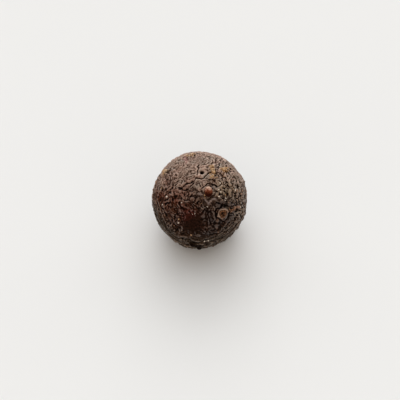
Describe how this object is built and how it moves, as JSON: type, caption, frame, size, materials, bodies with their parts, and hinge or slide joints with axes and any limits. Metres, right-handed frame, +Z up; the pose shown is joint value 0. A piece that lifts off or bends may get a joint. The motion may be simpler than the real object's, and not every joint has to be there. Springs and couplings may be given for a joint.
{
  "type": "black peppercorn",
  "caption": "Whole dried black peppercorn: a nearly round, dark brown, wrinkled berry about 5 mm across that rests on a small flat spot.",
  "frame": {"origin": "middle of the flat spot that the berry rests on", "axes": "+Z up from the flat spot, +X to the right as seen from the front, +Y to the back; the side with the pinhole, the bead and the ring scab looks towards -Y and up"},
  "size_m": [0.005, 0.0052, 0.0049],
  "materials": {
    "dried_skin": "satin"
  },
  "bodies": {
    "root": {"peppercorn": "dried_skin"}
  },
  "joints": []
}
